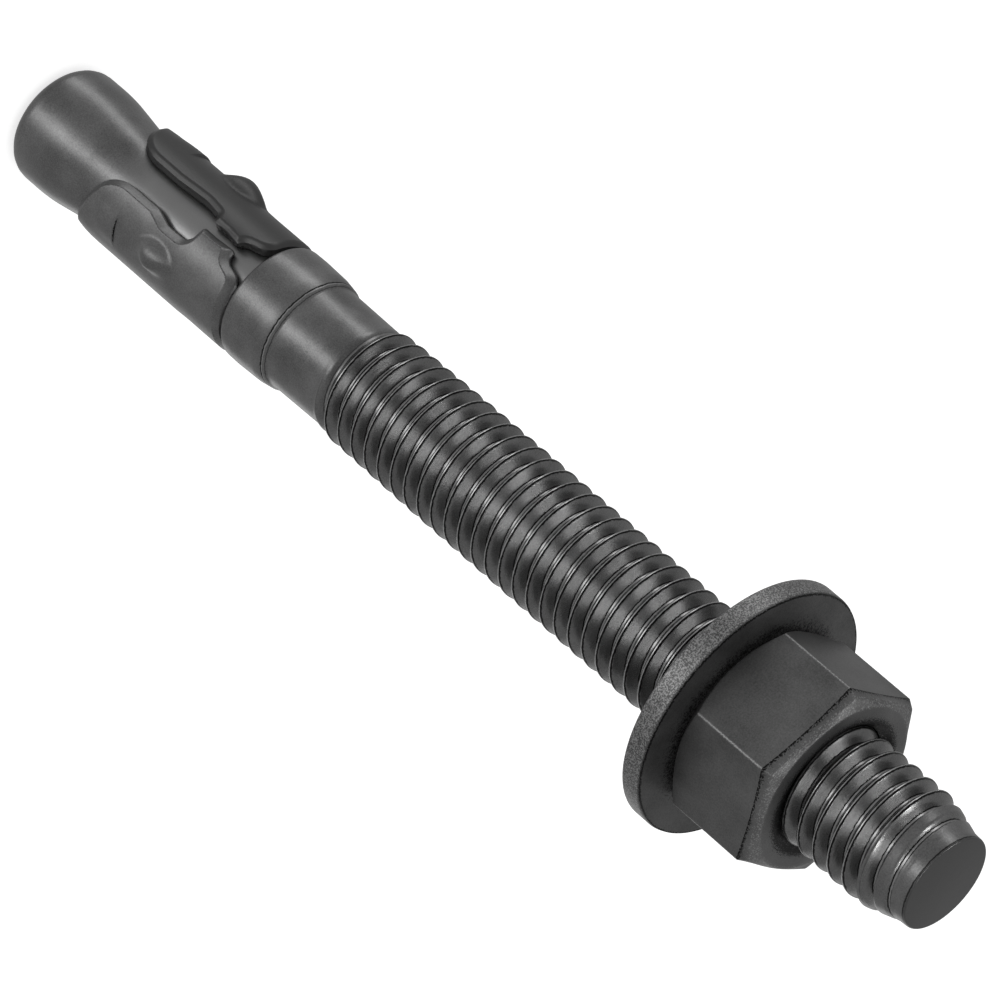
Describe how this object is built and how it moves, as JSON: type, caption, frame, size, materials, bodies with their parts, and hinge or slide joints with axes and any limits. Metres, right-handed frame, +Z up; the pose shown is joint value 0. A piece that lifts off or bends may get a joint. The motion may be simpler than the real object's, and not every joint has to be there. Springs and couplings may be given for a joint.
{
  "type": "wedge anchor",
  "caption": "Expansion bolt for concrete: a threaded stud with a flared cone end and a split expansion clip round its neck, with a flat washer and a hex nut on the thread.",
  "frame": {"origin": "centre of the stud's flat cone end, on the stud axis, at the bottom", "axes": "+Z up along the stud axis from the cone end to the threaded end; the clip's seam faces -Y"},
  "size_m": [0.027, 0.027, 0.1282],
  "materials": {
    "stud_steel": "satin dark finish on cold-formed steel",
    "clip_steel": "satin dark finish on stamped sheet steel",
    "washer_steel": "matte dark finish on stamped steel, worn bright at the rim",
    "nut_steel": "matte dark finish on forged steel, worn bright at the edges"
  },
  "bodies": {
    "stud": {"stud": "stud_steel"},
    "clip": {"expansion_clip": "clip_steel"},
    "washer": {"washer": "washer_steel"},
    "nut": {"hex_nut": "nut_steel"}
  },
  "joints": [
    {"name": "clip_turn", "type": "hinge", "parent": "stud", "child": "clip", "pos_m": [0, 0, 0.025], "axis": [0, 0, 1], "continuous": true},
    {"name": "washer_travel", "type": "slide", "parent": "stud", "child": "washer", "axis": [0, 0, 1], "range_m": [-0.053, 0.0246]},
    {"name": "nut_turn", "type": "hinge", "parent": "washer", "child": "nut", "pos_m": [0, 0, 0.1023], "axis": [0, 0, 1], "range_deg": [-9720, 4500]}
  ],
  "couplings": [
    {"joint": "washer_travel", "follows": "nut_turn", "m_per_rad": 0.00031097}
  ]
}
